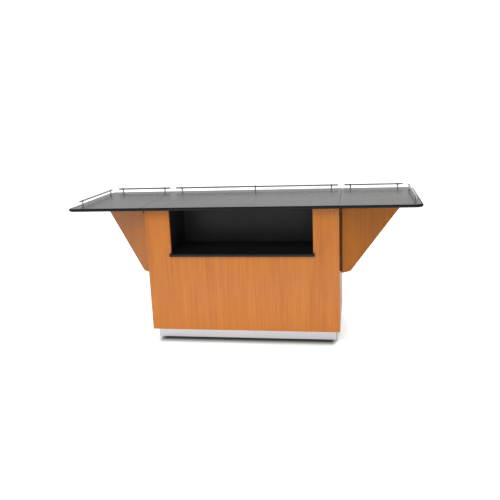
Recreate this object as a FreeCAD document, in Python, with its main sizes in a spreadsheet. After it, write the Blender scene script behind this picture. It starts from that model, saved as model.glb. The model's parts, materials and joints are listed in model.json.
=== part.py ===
import FreeCAD, Part
import Sketcher
import os
import re
import sys

# A mobile service table: a wood-laminate cabinet on hidden casters, with a black
# top whose two end leaves are held up by swing brackets.  +Z is up, the guests
# stand on the -Y side, X runs along the table, and the origin is on the floor
# under the middle of the top.  Millimetres and degrees.

Vector = FreeCAD.Vector

# ---------------------------------------------------------------- driving sizes
SIZES = [
    # the three-piece top
    ("top_length", 2286, "length of the whole top with both leaves up"),
    ("top_depth", 800, "front to back size of the top"),
    ("work_height", 940, "floor to worktop"),
    ("top_thickness", 20, "board thickness of centre top and leaves"),
    ("corner_round", 50, "radius of the leaves' outer corners in plan"),
    ("edging_width", 12, "depth of the soft edging in plan"),
    ("edging_round", 9.5, "radius of the edging's nose"),
    ("end_overhang", 2, "centre top beyond each end panel"),
    ("leaf_gap", 3, "seam between centre top and leaf"),
    # the cabinet
    ("body_width", 1270, "over both end panels"),
    ("side_overhang", 78, "top beyond the cabinet's front face and its back edge"),
    ("panel_thickness", 19, "laminated board of the cabinet"),
    ("panel_bottom", 90, "floor to the lower edge of the outer panels"),
    ("panel_ease", 1.5, "eased edges of the panels that show"),
    ("deck_height", 155, "floor to the underside of the bottom deck"),
    ("header_height", 60, "back rail under the top"),
    # the open niche in the front
    ("niche_width", 940, "clear width between the niche walls"),
    ("niche_floor_height", 622, "floor to the niche's shelf surface"),
    ("niche_depth", 360, "front face to the niche's back board"),
    ("niche_board", 19, "walls, floor and back of the niche"),
    ("nosing_height", 21, "height of the shelf nosing"),
    ("nosing_reach", 20, "nosing in front of the front face"),
    ("nosing_lap", 8, "nosing past each side of the opening"),
    ("nosing_round", 9, "radius of the nosing's front edges"),
    # storage behind the doors
    ("storage_shelf_height", 380, "floor to the underside of the storage shelf"),
    ("storage_shelf_setback", 25, "shelf's back edge in front of the doors"),
    ("shelf_side_gap", 1, "shelf to each end panel"),
    ("shelf_pin_radius", 2.5, "shelf pins"),
    ("shelf_pin_reach", 9, "pin out of the end panel, and into it"),
    ("shelf_pin_inset", 60, "pin rows from the shelf's front and back edges"),
    ("shelf_hole_pitch", 32, "spacing of the holes in a pin row"),
    ("shelf_hole_spare", 0.5, "pin hole deeper than its pin"),
    ("shelf_holes", 3, "holes in a pin row"),
    ("shelf_holes_below", 1, "holes under the one that holds the pin"),
    # kick skirt of folded sheet
    ("skirt_setback_side", 35, "skirt behind the front face, and inside the back edge"),
    ("skirt_setback_end", 30, "skirt inside the end panels"),
    ("skirt_bottom", 25, "floor to the skirt's lower edge"),
    ("skirt_sheet", 1.5, "sheet thickness"),
    ("skirt_flange", 20, "flange under the deck"),
    ("skirt_hem", 8, "safe edge turned in at the bottom"),
    # gallery rails
    ("rod_radius", 6, "rail rod"),
    ("rod_end_bevel", 1.5, "bevelled rod ends"),
    ("rail_height", 28, "rod's axis above the worktop"),
    ("rail_inset", 36, "rod's axis in from the top's edge"),
    ("centre_rail_half", 611, "middle to the end of the centre rod"),
    ("centre_post", 562, "middle to the outer posts of the centre rod"),
    ("leaf_rail_start", 655, "middle to the inner end of a leaf's back rod"),
    ("leaf_rail_end", 1068, "middle to the outer end of a leaf's back rod"),
    ("leaf_post_inner", 699, "middle to the inner post of that rod"),
    ("leaf_post_outer", 1032, "middle to the outer post of that rod"),
    ("end_rail_front", 264, "middle to the front end of an end rod"),
    ("end_rail_back", 325, "middle to the back end of an end rod"),
    ("end_post_front", 217, "middle to the front post of an end rod"),
    ("end_post_back", 289, "middle to the back post of an end rod"),
    ("post_radius", 5, "post's stem"),
    ("post_seat", 12, "post's stem let into the board"),
    ("post_sleeve_radius", 8, "sleeve round the rod"),
    ("post_sleeve_length", 14, "sleeve along the rod"),
    # swing brackets that hold up the leaves
    ("bracket_width", 562, "from the hinge to the tip, along the top edge"),
    ("bracket_foot", 65, "from the hinge to the corner, along the lower edge"),
    ("bracket_bottom", 477, "floor to the lower edge"),
    ("bracket_tip", 12, "height of the blunt tip"),
    ("bracket_foot_round", 28, "radius of the lower outer corner"),
    ("bracket_thickness", 16, "bracket board"),
    ("bracket_angle", 40, "bracket's swing back from square, leaf up"),
    ("bracket_setback", 76, "hinge line behind the front face"),
    ("bracket_hinge_radius", 5, "knuckles of the long hinge"),
    ("bracket_hinge_sheet", 1.8, "leaves of the long hinge"),
    ("bracket_hinge_leaf", 32, "width of a leaf of the long hinge"),
    ("bracket_hinge_inset", 6, "hinge ends from the bracket's edges"),
    ("bracket_hinge_pairs", 4, "moving knuckles; one more is fixed"),
    ("bracket_pin_radius", 2, "pin of the long hinge"),
    ("bracket_top_gap", 0.3, "bracket's top edge under the leaf"),
    # cranked drop-leaf hinges
    ("leaf_hinge_radius", 4.5, "knuckles of the leaf hinges"),
    ("leaf_hinge_sheet", 2.5, "plates of the leaf hinges"),
    ("leaf_hinge_width", 33, "leaf hinge along the seam"),
    ("leaf_hinge_inset", 4, "leaf hinges from the cabinet's front and back"),
    ("leaf_hinge_drop", 28, "pivot under the leaf's underside"),
    ("leaf_hinge_plate", 52, "wall plate below the pivot"),
    ("leaf_hinge_strap", 62, "strap under the leaf"),
    ("leaf_pin_radius", 2, "pin of the leaf hinges"),
    # rear doors
    ("door_gap", 3, "door to end panel, and between the doors"),
    ("door_top_gap", 2, "door under the top, and over the panels' lower line"),
    ("door_seat_gap", 0.3, "closed door to the deck and header"),
    ("door_hinge_radius", 4, "knuckles of the door hinges"),
    ("door_hinge_sheet", 1.2, "leaves of the door hinges"),
    ("door_hinge_leaf", 22, "width of a door hinge's leaf"),
    ("door_hinge_length", 66, "door hinge's height"),
    ("door_hinge_inset", 110, "door hinges from the door's ends"),
    ("door_pin_radius", 2, "pin of the door hinges"),
    ("pull_strip", 5, "thickness of the pulls' bent strip"),
    ("pull_width", 14, "width of the strip"),
    ("pull_length", 128, "between the middles of the pull's feet"),
    ("pull_reach", 30, "pull behind the door"),
    ("pull_bend", 10, "outside bend of the strip"),
    ("pull_inset", 45, "pull from the door's free edge"),
    ("pull_height", 640, "floor to the middle of the pull"),
    ("catch_length", 42, "magnetic catch under the header"),
    ("catch_height", 12, "catch"),
    ("catch_inset", 14, "catch from the doors' meeting edges"),
    ("catch_setback", 1, "catch in front of the doors, for their strike plates"),
    ("catch_round", 2, "edges of the catch"),
    # casters
    ("caster_x", 480, "kingpins from the middle, along the table"),
    ("caster_y", 165, "kingpins from the middle, front to back"),
    ("wheel_radius", 62.5, "wheel with its tread"),
    ("wheel_width", 32, "tread"),
    ("wheel_tread", 10, "thickness of the tread"),
    ("wheel_tread_bevel", 5, "shoulders of the tread"),
    ("wheel_web", 9, "hub's web"),
    ("wheel_rim", 8, "hub's rim under the tread"),
    ("wheel_rim_setback", 2, "hub's rim inside the tread's sides"),
    ("wheel_boss_radius", 14, "hub's boss"),
    ("wheel_bond_gap", 0.05, "hub to tread"),
    ("caster_trail", 36, "axle behind the kingpin"),
    ("caster_plate_length", 105, "mounting plate along the table"),
    ("caster_plate_width", 80, "mounting plate front to back"),
    ("caster_plate_sheet", 4, "mounting plate"),
    ("caster_plate_round", 8, "mounting plate's corners"),
    ("fork_sheet", 4, "fork's crown and legs"),
    ("fork_crown_gap", 7, "wheel to crown"),
    ("fork_side_gap", 4, "tread to each leg"),
    ("fork_foot_round", 14, "round end of a leg"),
    ("fork_foot_flat", 1, "flat of a leg's end beyond the round"),
    ("fork_brow", 12, "straight edge of a leg under the crown"),
    ("race_radius", 28, "swivel race"),
    ("race_gap", 0.3, "between the two race rings"),
    ("kingpin_radius", 6, "kingpin"),
    ("axle_radius", 6, "wheel axle, a bolt with a nut"),
    ("axle_hexagon", 18, "across the flats of its head and nut"),
    ("axle_head_height", 5, "its head and its nut"),
    ("axle_end", 2, "its thread past the nut"),
    ("running_gap", 0.05, "radial clearance of pins and shafts"),
    ("end_gap", 0.3, "clearance between the ends of knuckles and bosses"),
]

# ------------------------------------------- places that several pieces share
HALF_TOP = "(top_length / 2)"
HALF_DEPTH = "(top_depth / 2)"
UNDERSIDE = "(work_height - top_thickness)"
ROD_LEVEL = "(work_height + rail_height)"
SEAM = "(body_width / 2 + end_overhang)"
LEAF_START = f"({SEAM} + leaf_gap)"
END_OUTER = "(body_width / 2)"
END_INNER = "(body_width / 2 - panel_thickness)"
FRONT_FACE = f"(side_overhang - {HALF_DEPTH})"
BACK_EDGE = f"({HALF_DEPTH} - side_overhang)"
FRONT_INNER = f"({FRONT_FACE} + panel_thickness)"
DOOR_FRONT = f"({BACK_EDGE} - panel_thickness)"
HEADER_UNDER = f"({UNDERSIDE} - header_height)"
DECK_TOP = "(deck_height + panel_thickness)"
NICHE_BACK = f"({FRONT_FACE} + niche_depth)"
NICHE_UNDER = "(niche_floor_height - niche_board)"
SHELF_BACK = f"({DOOR_FRONT} - storage_shelf_setback)"
SHELF_PIN_LEVEL = "(storage_shelf_height - shelf_pin_radius)"
LOWEST_HOLE = f"({SHELF_PIN_LEVEL} - shelf_holes_below * shelf_hole_pitch)"
SKIRT_FACE = f"({BACK_EDGE} - skirt_setback_side)"
SKIRT_END = "(body_width / 2 - skirt_setback_end)"
BRACKET_AXIS_X = f"({END_OUTER} + bracket_hinge_radius)"
BRACKET_AXIS_Y = f"({FRONT_FACE} + bracket_setback)"
BRACKET_TOP = f"({UNDERSIDE} - bracket_top_gap)"
BRACKET_HINGE_LENGTH = f"({BRACKET_TOP} - bracket_bottom - 2 * bracket_hinge_inset)"
LEAF_AXIS_X = f"({END_OUTER} + leaf_hinge_radius)"
LEAF_AXIS_Z = f"({UNDERSIDE} - leaf_hinge_drop)"
STRAP_END = f"({LEAF_START} + leaf_hinge_strap)"
FRONT_HINGE = f"({FRONT_FACE} + leaf_hinge_inset)"
BACK_HINGE = f"({BACK_EDGE} - leaf_hinge_inset - leaf_hinge_width)"
LEAF_HINGES = {
    "front": (FRONT_HINGE, f"{FRONT_HINGE} + leaf_hinge_width"),
    "back": (BACK_HINGE, f"{BACK_HINGE} + leaf_hinge_width"),
}
BACK_RAIL = f"({HALF_DEPTH} - rail_inset)"
END_RAIL = f"({HALF_TOP} - rail_inset)"
DOOR_EDGE = f"({END_INNER} - door_gap)"
DOOR_AXIS_X = f"({END_INNER} - door_gap / 2)"
DOOR_AXIS_Y = f"({BACK_EDGE} + door_hinge_radius)"
DOOR_TOP = f"({UNDERSIDE} - door_top_gap)"
DOOR_BOTTOM = "(panel_bottom + door_top_gap)"
CROWN_TOP = "(2 * wheel_radius + fork_crown_gap + fork_sheet)"
PLATE_UNDER = "(deck_height - caster_plate_sheet)"
RACE_MIDDLE = f"(({CROWN_TOP} + {PLATE_UNDER}) / 2)"
FORK_INNER = "(wheel_width / 2 + fork_side_gap)"
FORK_OUTER = f"({FORK_INNER} + fork_sheet)"

# local Z laid along the table's X or Y, for rods, sleeves and wheels
ALONG_X = ((0, 1, 0), (1, 0, 0))
ALONG_Y = ((1, 0, 0), (0, 1, 0))

# radius, sheet, pin radius, length and moving knuckles of each kind of hinge
BRACKET_HINGE = ("bracket_hinge_radius", "bracket_hinge_sheet", "bracket_pin_radius",
                 BRACKET_HINGE_LENGTH, "bracket_hinge_pairs")
LEAF_HINGE = ("leaf_hinge_radius", "leaf_hinge_sheet", "leaf_pin_radius",
              "leaf_hinge_width", "1")

# where each rail's posts stand: name, lie of the sleeve, X and Y
CENTRE_POSTS = [
    ("centre_post_right", ALONG_X, "centre_post", BACK_RAIL),
    ("centre_post_middle", ALONG_X, "0", BACK_RAIL),
    ("centre_post_left", ALONG_X, "-centre_post", BACK_RAIL),
]
LEAF_POSTS = [
    ("leaf_post_inner", ALONG_X, "leaf_post_inner", BACK_RAIL),
    ("leaf_post_outer", ALONG_X, "leaf_post_outer", BACK_RAIL),
    ("end_post_front", ALONG_Y, END_RAIL, "-end_post_front"),
    ("end_post_back", ALONG_Y, END_RAIL, "end_post_back"),
]

LEAST_CUT = 1.0  # a cut that takes less volume than this has missed
PARALLEL = 1e-6
COINCIDENT = 1e-3

doc = FreeCAD.newDocument("ServiceTable")
sheet = doc.addObject("Spreadsheet::Sheet", "Sizes")
for row, (alias, number, meaning) in enumerate(SIZES, start=1):
    sheet.set(f"A{row}", meaning)
    sheet.set(f"B{row}", str(number))
    sheet.setAlias(f"B{row}", alias)
doc.recompute()

ALIASES = {alias for alias, number, meaning in SIZES}
parts = []


# ------------------------------------------------------------ modelling helpers
def formula(text):
    """The expression with each alias written as a cell of the sheet."""
    return re.sub(
        r"[A-Za-z_]\w*",
        lambda word: "Sizes." + word.group() if word.group() in ALIASES else word.group(),
        str(text),
    )


def value(text):
    """The expression's number for the sizes as they stand."""
    return float(sheet.evalExpression(formula(text)))


def bind(item, **expressions):
    """Tie properties to the sheet; a double underscore stands for a dot."""
    for name, text in expressions.items():
        item.setExpression(name.replace("__", "."), formula(text))


def place(item, x="0", y="0", z="0", axes=None):
    """Put an object at a bound point; axes gives its turned X and Z directions."""
    if axes:
        x_axis, z_axis = Vector(*axes[0]), Vector(*axes[1])
        turn = FreeCAD.Rotation(x_axis, z_axis.cross(x_axis), z_axis, "ZXY")
        item.Placement = FreeCAD.Placement(Vector(), turn)
    bind(item, Placement__Base__x=x, Placement__Base__y=y, Placement__Base__z=z)
    return item


def new_body(name):
    body = doc.addObject("PartDesign::Body", name)
    body.Label = name
    return body


def origin_feature(body, role):
    return [item for item in body.Origin.OriginFeatures if item.Role == role][0]


def new_sketch(body, role, height="0"):
    """A sketch on one of the body's own planes, raised along its normal."""
    sketch = body.newObject("Sketcher::SketchObject", body.Name + "_sketch")
    sketch.AttachmentSupport = [(origin_feature(body, role), "")]
    sketch.MapMode = "FlatFace"
    bind(sketch, AttachmentOffset__Base__z=height)
    return sketch


def outline(sketch, corners):
    """A closed outline through corners given as pairs of expressions."""
    points = [Vector(value(x), value(y), 0) for x, y in corners]
    first = sketch.GeometryCount
    count = len(points)
    for index, point in enumerate(points):
        sketch.addGeometry(Part.LineSegment(point, points[(index + 1) % count]))
    for index in range(count):
        following = first + (index + 1) % count
        sketch.addConstraint(Sketcher.Constraint("Coincident", first + index, 2, following, 1))
    for index, (x, y) in enumerate(corners):
        for kind, text in (("DistanceX", x), ("DistanceY", y)):
            tie = Sketcher.Constraint(kind, -1, 1, first + index, 1, value(text))
            number = sketch.addConstraint(tie)
            sketch.setExpression(f"Constraints[{number}]", formula(text))
    return sketch


def rectangle(sketch, left, right, low, high):
    return outline(sketch, [(left, low), (right, low), (right, high), (left, high)])


def circle(sketch, x, y, radius):
    """A circle with its centre and radius bound."""
    centre = Vector(value(x), value(y), 0)
    item = sketch.addGeometry(Part.Circle(centre, Vector(0, 0, 1), value(radius)))
    ties = (
        (Sketcher.Constraint("DistanceX", -1, 1, item, 3, value(x)), x),
        (Sketcher.Constraint("DistanceY", -1, 1, item, 3, value(y)), y),
        (Sketcher.Constraint("Radius", item, value(radius)), radius),
    )
    for tie, text in ties:
        number = sketch.addConstraint(tie)
        sketch.setExpression(f"Constraints[{number}]", formula(text))
    return sketch


def pad(body, sketch, length):
    feature = body.newObject("PartDesign::Pad", body.Name + "_pad")
    feature.Profile = sketch
    bind(feature, Length=length)
    return feature


def pocket(body, sketch, length, symmetric=False):
    """A cut from the sketch away from its normal, checked by its volume."""
    doc.recompute()
    before = body.Shape.Volume
    feature = body.newObject("PartDesign::Pocket", body.Name + "_pocket")
    feature.Profile = sketch
    if symmetric:
        feature.SideType = "Symmetric"
    bind(feature, Length=length)
    doc.recompute()
    if body.Shape.Volume > before - LEAST_CUT:
        sys.exit(f"{feature.Name} cuts nothing")
    return feature


def revolve(body, sketch):
    """A full turn about the sketch's own vertical axis."""
    feature = body.newObject("PartDesign::Revolution", body.Name + "_turn")
    feature.Profile = sketch
    feature.ReferenceAxis = (sketch, ["V_Axis"])
    feature.Angle = 360
    return feature


def pattern(body, features, role, length, count):
    """Copies of features along one of the body's axes, over a bound length."""
    feature = body.newObject("PartDesign::LinearPattern", body.Name + "_row")
    feature.Originals = features
    feature.Direction = (origin_feature(body, role), [""])
    bind(feature, Length=length, Occurrences=count)
    body.Tip = feature
    return feature


def dress_edges(body, kind, wanted, **size):
    """A fillet or chamfer on the edges for which wanted(edge) is true."""
    doc.recompute()
    tip = body.Tip
    names = [f"Edge{n}" for n, edge in enumerate(tip.Shape.Edges, start=1) if wanted(edge)]
    if not names:
        sys.exit(f"{body.Name} has no edge for its {kind}")
    feature = body.newObject(f"PartDesign::{kind}", f"{body.Name}_{kind}")
    feature.Base = (tip, names)
    bind(feature, **size)
    return feature


def round_edges(body, radius, wanted):
    return dress_edges(body, "Fillet", wanted, Radius=radius)


def bevel_edges(body, size, wanted):
    return dress_edges(body, "Chamfer", wanted, Size=size)


def along(edge, direction):
    """True for a straight edge that runs along the direction."""
    if edge.Curve.TypeId != "Part::GeomLine":
        return False
    tangent = edge.tangentAt(edge.FirstParameter)
    return tangent.cross(Vector(*direction)).Length < PARALLEL


def matches(number, text):
    """True if a measured place is the one that the expression gives."""
    return abs(number - value(text)) < COINCIDENT


def block(name, x, y, z):
    """A board or bar between bound pairs of X, Y and Z, as a padded sketch."""
    body = new_body(name)
    sketch = rectangle(new_sketch(body, "XY_Plane", z[0]), x[0], x[1], y[0], y[1])
    pad(body, sketch, f"{z[1]} - ({z[0]})")
    return body


def mirrored(name, source, normal=(1, 0, 0), y="0"):
    """The source's twin across the table's middle plane, or across a plane y."""
    twin = doc.addObject("Part::Mirroring", name)
    twin.Source = source
    twin.Normal = Vector(*normal)
    bind(twin, Base__y=y)
    twin.Label = name
    return twin


def group(name, members):
    """Like pieces that share one sub-part, as separate solids."""
    collection = doc.addObject("Part::Compound", name)
    collection.Links = members
    collection.Label = name
    return keep(collection)


def keep(item):
    """Mark an object as a sub-part of the table."""
    parts.append(item)
    return item


def left_twins(items):
    return [mirrored(item.Name + "_left", item) for item in items]


def both_sides(items):
    return items + left_twins(items)


def keep_pair(name, right):
    """Keep a right-hand piece and its left-hand twin."""
    right.Label = "right_" + name
    keep(right)
    keep(mirrored("left_" + name, right))


# --------------------------------------------------------------- the cabinet
def front_panel():
    """Wide front board, cut out from its top edge round the niche."""
    half = "niche_width / 2"
    body = new_body("front_panel")
    corners = [
        (f"-{END_OUTER}", "panel_bottom"),
        (END_OUTER, "panel_bottom"),
        (END_OUTER, UNDERSIDE),
        (half, UNDERSIDE),
        (half, NICHE_UNDER),
        (f"-{half}", NICHE_UNDER),
        (f"-{half}", UNDERSIDE),
        (f"-{END_OUTER}", UNDERSIDE),
    ]
    sketch = outline(new_sketch(body, "XZ_Plane", f"-{FRONT_INNER}"), corners)
    pad(body, sketch, "panel_thickness")
    ends = lambda edge: (
        along(edge, (0, 0, 1))
        and matches(abs(edge.CenterOfMass.x), END_OUTER)
        and matches(edge.CenterOfMass.y, FRONT_FACE)
    )
    round_edges(body, "panel_ease", ends)
    keep(body)


def end_panels():
    """End boards behind the front board, drilled inside for the shelf pins."""
    body = block(
        "end_panel", (END_INNER, END_OUTER), (FRONT_INNER, BACK_EDGE), ("panel_bottom", UNDERSIDE)
    )
    sketch = new_sketch(body, "YZ_Plane", END_INNER)
    for y in (f"{FRONT_INNER} + shelf_pin_inset", f"{SHELF_BACK} - shelf_pin_inset"):
        circle(sketch, y, LOWEST_HOLE, "shelf_pin_radius + running_gap")
    holes = pocket(body, sketch, "2 * (shelf_pin_reach + shelf_hole_spare)", symmetric=True)
    pattern(body, [holes], "Z_Axis", "shelf_hole_pitch * (shelf_holes - 1)", "shelf_holes")
    keep_pair("end_panel", body)


def cabinet_boards():
    """Deck, back header, niche liner and storage shelf."""
    half = "niche_width / 2"
    outside = f"({half} + niche_board)"
    keep(block("bottom_deck", (f"-{END_INNER}", END_INNER), (FRONT_INNER, DOOR_FRONT),
               ("deck_height", DECK_TOP)))
    keep(block("rear_header", (f"-{END_INNER}", END_INNER),
               (f"{DOOR_FRONT} - panel_thickness", DOOR_FRONT),
               (HEADER_UNDER, UNDERSIDE)))
    keep(block("niche_floor", (f"-{half}", half), (FRONT_FACE, NICHE_BACK),
               (NICHE_UNDER, "niche_floor_height")))
    keep(block("niche_back", (f"-{outside}", outside), (NICHE_BACK, f"{NICHE_BACK} + niche_board"),
               (NICHE_UNDER, UNDERSIDE)))
    keep_pair("niche_wall", block("niche_wall", (half, outside), (FRONT_INNER, NICHE_BACK),
                                  (NICHE_UNDER, UNDERSIDE)))
    shelf_half = f"({END_INNER} - shelf_side_gap)"
    keep(block("storage_shelf", (f"-{shelf_half}", shelf_half), (FRONT_INNER, SHELF_BACK),
               ("storage_shelf_height", "storage_shelf_height + panel_thickness")))


def shelf_pins():
    """Four pins in the end panels' holes, under the storage shelf."""
    body = new_body("shelf_pin_front")
    sketch = new_sketch(body, "YZ_Plane", f"{END_INNER} - shelf_pin_reach")
    circle(sketch, f"{FRONT_INNER} + shelf_pin_inset", SHELF_PIN_LEVEL, "shelf_pin_radius")
    pad(body, sketch, "2 * shelf_pin_reach - end_gap")
    back = mirrored("shelf_pin_back", body, (0, 1, 0), f"({FRONT_INNER} + {SHELF_BACK}) / 2")
    group("shelf_pins", both_sides([body, back]))


def shelf_nosing():
    """Black bullnose strip along the niche floor's front edge."""
    half = "(niche_width / 2 + nosing_lap)"
    face = f"({FRONT_FACE} - nosing_reach)"
    body = block("shelf_nosing", (f"-{half}", half), (face, FRONT_FACE),
                 ("niche_floor_height - nosing_height", "niche_floor_height"))
    front = lambda edge: along(edge, (1, 0, 0)) and matches(edge.CenterOfMass.y, face)
    round_edges(body, "nosing_round", front)
    keep(body)


def skirt():
    """Kick skirt of folded sheet: a flange under the deck, a face and a hem."""
    rear = new_body("skirt_rear")
    sketch = new_sketch(rear, "YZ_Plane", f"-{SKIRT_END}")
    pad(rear, outline(sketch, folded_section(SKIRT_FACE)), f"2 * {SKIRT_END}")
    keep(rear)
    keep(mirrored("skirt_front", rear, (0, 1, 0)))
    end = new_body("skirt_end")
    half = f"({SKIRT_FACE} - skirt_flange)"
    sketch = new_sketch(end, "XZ_Plane", f"-{half}")
    pad(end, outline(sketch, folded_section(SKIRT_END)), f"2 * {half}")
    # between the front's and rear's hems and flanges the face alone reaches the corners
    corner = f"({SKIRT_FACE} - skirt_sheet)"
    face = new_sketch(end, "XZ_Plane", f"-{corner}")
    rectangle(face, f"{SKIRT_END} - skirt_sheet", SKIRT_END,
              "skirt_bottom + skirt_sheet", "deck_height - skirt_sheet")
    pad(end, face, f"2 * {corner}")
    group("skirt_ends", both_sides([end]))


def folded_section(face):
    """Outline of the folded sheet, from its face inwards."""
    inner = f"{face} - skirt_sheet"
    return [
        (face, "skirt_bottom"),
        (face, "deck_height"),
        (f"{face} - skirt_flange", "deck_height"),
        (f"{face} - skirt_flange", "deck_height - skirt_sheet"),
        (inner, "deck_height - skirt_sheet"),
        (inner, "skirt_bottom + skirt_sheet"),
        (f"{face} - skirt_hem", "skirt_bottom + skirt_sheet"),
        (f"{face} - skirt_hem", "skirt_bottom"),
    ]


# ------------------------------------------------------------------- the top
def centre_top():
    """Centre board with a soft nose along its front and back edges."""
    board_edge = f"({HALF_DEPTH} - edging_width)"
    across = (f"-{SEAM}", SEAM)
    levels = (UNDERSIDE, "work_height")
    board = block("centre_top", across, (f"-{board_edge}", board_edge), levels)
    post_holes(board, CENTRE_POSTS)
    keep(board)
    nose = block("centre_edging_back", across, (board_edge, HALF_DEPTH), levels)
    outer = lambda edge: along(edge, (1, 0, 0)) and matches(edge.CenterOfMass.y, HALF_DEPTH)
    round_edges(nose, "edging_round", outer)
    group("centre_edging", [nose, mirrored("centre_edging_front", nose, (0, 1, 0))])


def post_holes(board, posts):
    """Blind holes from above, in which the rail posts stand."""
    sketch = new_sketch(board, "XY_Plane", "work_height")
    for name, axes, x, y in posts:
        circle(sketch, x, y, "post_radius + running_gap")
    pocket(board, sketch, "post_seat")


def leaf_board():
    """Leaf board with round outer corners, let out below for the hinge straps."""
    end = f"({HALF_TOP} - edging_width)"
    side = f"({HALF_DEPTH} - edging_width)"
    body = block("leaf_board", (LEAF_START, end), (f"-{side}", side), (UNDERSIDE, "work_height"))
    corner = lambda edge: along(edge, (0, 0, 1)) and matches(edge.CenterOfMass.x, end)
    round_edges(body, "corner_round - edging_width", corner)
    sketch = new_sketch(body, "XY_Plane", f"{UNDERSIDE} + leaf_hinge_sheet")
    for low, high in LEAF_HINGES.values():
        rectangle(sketch, LEAF_START, STRAP_END, low, high)
    pocket(body, sketch, "leaf_hinge_sheet")
    post_holes(body, LEAF_POSTS)
    keep_pair("leaf_board", body)


def leaf_edging():
    """Soft nose round the three free sides of a leaf."""
    end_in = f"({HALF_TOP} - edging_width)"
    side_in = f"({HALF_DEPTH} - edging_width)"
    corners = [
        (LEAF_START, f"-{HALF_DEPTH}"),
        (HALF_TOP, f"-{HALF_DEPTH}"),
        (HALF_TOP, HALF_DEPTH),
        (LEAF_START, HALF_DEPTH),
        (LEAF_START, side_in),
        (end_in, side_in),
        (end_in, f"-{side_in}"),
        (LEAF_START, f"-{side_in}"),
    ]
    body = new_body("leaf_edging")
    pad(body, outline(new_sketch(body, "XY_Plane", UNDERSIDE), corners), "top_thickness")
    inner = lambda edge: along(edge, (0, 0, 1)) and matches(edge.CenterOfMass.x, end_in)
    round_edges(body, "corner_round - edging_width", inner)
    outer = lambda edge: along(edge, (0, 0, 1)) and matches(edge.CenterOfMass.x, HALF_TOP)
    round_edges(body, "corner_round", outer)
    nose = lambda edge: (
        matches(abs(edge.CenterOfMass.y), HALF_DEPTH) and along(edge, (1, 0, 0))
        or matches(edge.CenterOfMass.x, HALF_TOP) and along(edge, (0, 1, 0))
    )
    round_edges(body, "edging_round", nose)
    keep_pair("leaf_edging", body)


# ------------------------------------------------------------ gallery rails
def rod(name, start, finish, axes, x, y):
    """A straight rail rod with bevelled ends; start and finish lie along it."""
    body = new_body(name)
    sketch = circle(new_sketch(body, "XY_Plane", start), "0", "0", "rod_radius")
    pad(body, sketch, f"{finish} - ({start})")
    bevel_edges(body, "rod_end_bevel", lambda edge: edge.Curve.TypeId == "Part::GeomCircle")
    return place(body, x, y, ROD_LEVEL, axes)


def post(name, axes, x, y):
    """A stem let into the board, with a sleeve that holds the rod."""
    stem = new_body(name + "_stem")
    sketch = circle(new_sketch(stem, "XY_Plane", "-post_seat"), "0", "0", "post_radius")
    pad(stem, sketch, "post_seat + rail_height")
    place(stem, x, y, "work_height")
    sleeve = doc.addObject("Part::Cylinder", name + "_sleeve")
    bind(sleeve, Radius="post_sleeve_radius", Height="post_sleeve_length")
    bore = doc.addObject("Part::Cylinder", name + "_bore")
    bind(bore, Radius="rod_radius + running_gap", Height="post_sleeve_length")
    for item in (sleeve, bore):
        if axes == ALONG_X:
            place(item, f"{x} - post_sleeve_length / 2", y, ROD_LEVEL, axes)
        else:
            place(item, x, f"{y} - post_sleeve_length / 2", ROD_LEVEL, axes)
    whole = doc.addObject("Part::Fuse", name + "_whole")
    whole.Base = stem
    whole.Tool = sleeve
    bored = doc.addObject("Part::Cut", name)
    bored.Base = whole
    bored.Tool = bore
    return bored


def centre_rail():
    """Rod and three posts along the back of the centre top."""
    keep(rod("centre_rail", "-centre_rail_half", "centre_rail_half", ALONG_X, "0", BACK_RAIL))
    group("centre_rail_posts", [post(*place_of_post) for place_of_post in CENTRE_POSTS])


def leaf_rails():
    """Back rod and end rod of a leaf, with their posts."""
    rods = [
        rod("leaf_back_rod", "leaf_rail_start", "leaf_rail_end", ALONG_X, "0", BACK_RAIL),
        rod("leaf_end_rod", "-end_rail_front", "end_rail_back", ALONG_Y, END_RAIL, "0"),
    ]
    posts = [post(*place_of_post) for place_of_post in LEAF_POSTS]
    group("right_leaf_rails", rods)
    group("left_leaf_rails", left_twins(rods))
    group("right_leaf_rail_posts", posts)
    group("left_leaf_rail_posts", left_twins(posts))


# ------------------------------------------------------------------- hinges
def hinge_part(name, sizes, plate, moving, facing):
    """One half of a hinge, its axis on local Z and its plate along local X.

    The plate is tangent to the knuckles on the side that facing names, and its
    knuckles alternate with those of the other half along the hinge's length.
    """
    radius, sheet_size, pin, length, pairs = sizes
    pitch = f"({length} / (2 * {pairs} + 1))"
    start = pitch if moving else "0"
    count = pairs if moving else f"{pairs} + 1"
    span = f"2 * {pitch} * ({pairs} - 1)" if moving else f"2 * {pitch} * {pairs}"
    near_side = f"{facing} * ({radius} - {sheet_size})"
    far_side = f"{facing} * {radius}"
    reach = f"({radius} + end_gap)"
    body = new_body(name)
    pad(body, rectangle(new_sketch(body, "XY_Plane"), reach, plate, near_side, far_side), length)
    foot = f"{start} + end_gap / 2"
    tab = pad(
        body,
        rectangle(new_sketch(body, "XY_Plane", foot), "0", reach, near_side, far_side),
        f"{pitch} - end_gap",
    )
    knuckle = pad(
        body,
        circle(new_sketch(body, "XY_Plane", foot), "0", "0", radius),
        f"{pitch} - end_gap",
    )
    if value(count) > 1:
        pattern(body, [tab, knuckle], "Z_Axis", span, count)
    bore = circle(new_sketch(body, "XY_Plane", length), "0", "0", f"{pin} + running_gap")
    pocket(body, bore, length)
    return body


def hinge_pin(name, pin, length):
    """The hinge's pin, along local Z."""
    body = new_body(name)
    pad(body, circle(new_sketch(body, "XY_Plane"), "0", "0", pin), length)
    return body


def turned(item, angle_text):
    """Turn an object about its local Z by a bound angle, after it is placed."""
    item.Placement.Rotation = FreeCAD.Rotation(Vector(0, 0, 1), value(angle_text))
    bind(item, Placement__Rotation__Angle=angle_text)
    return item


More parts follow.
